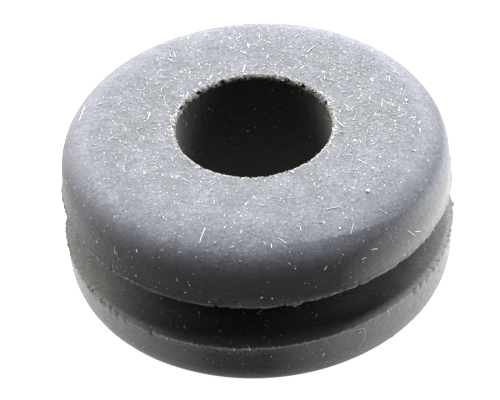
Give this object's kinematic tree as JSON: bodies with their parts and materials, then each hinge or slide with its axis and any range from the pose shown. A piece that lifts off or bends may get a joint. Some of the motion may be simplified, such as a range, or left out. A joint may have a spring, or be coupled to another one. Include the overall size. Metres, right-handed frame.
{
  "type": "rubber grommet",
  "caption": "Round rubber grommet with rounded flanges, a groove that takes a panel's edge and a straight bore for a cable.",
  "frame": {"origin": "on the bore's axis, at mid height of the groove, where the middle of the panel's thickness sits", "axes": "+Z along the bore, out of the flange that faces up in the picture; -Y towards the camera; X across the picture"},
  "size_m": [0.0151, 0.015, 0.0072],
  "materials": {
    "rubber": "matte moulded black rubber, greyed by a fine dust bloom"
  },
  "bodies": {
    "root": {"grommet": "rubber"}
  },
  "joints": []
}
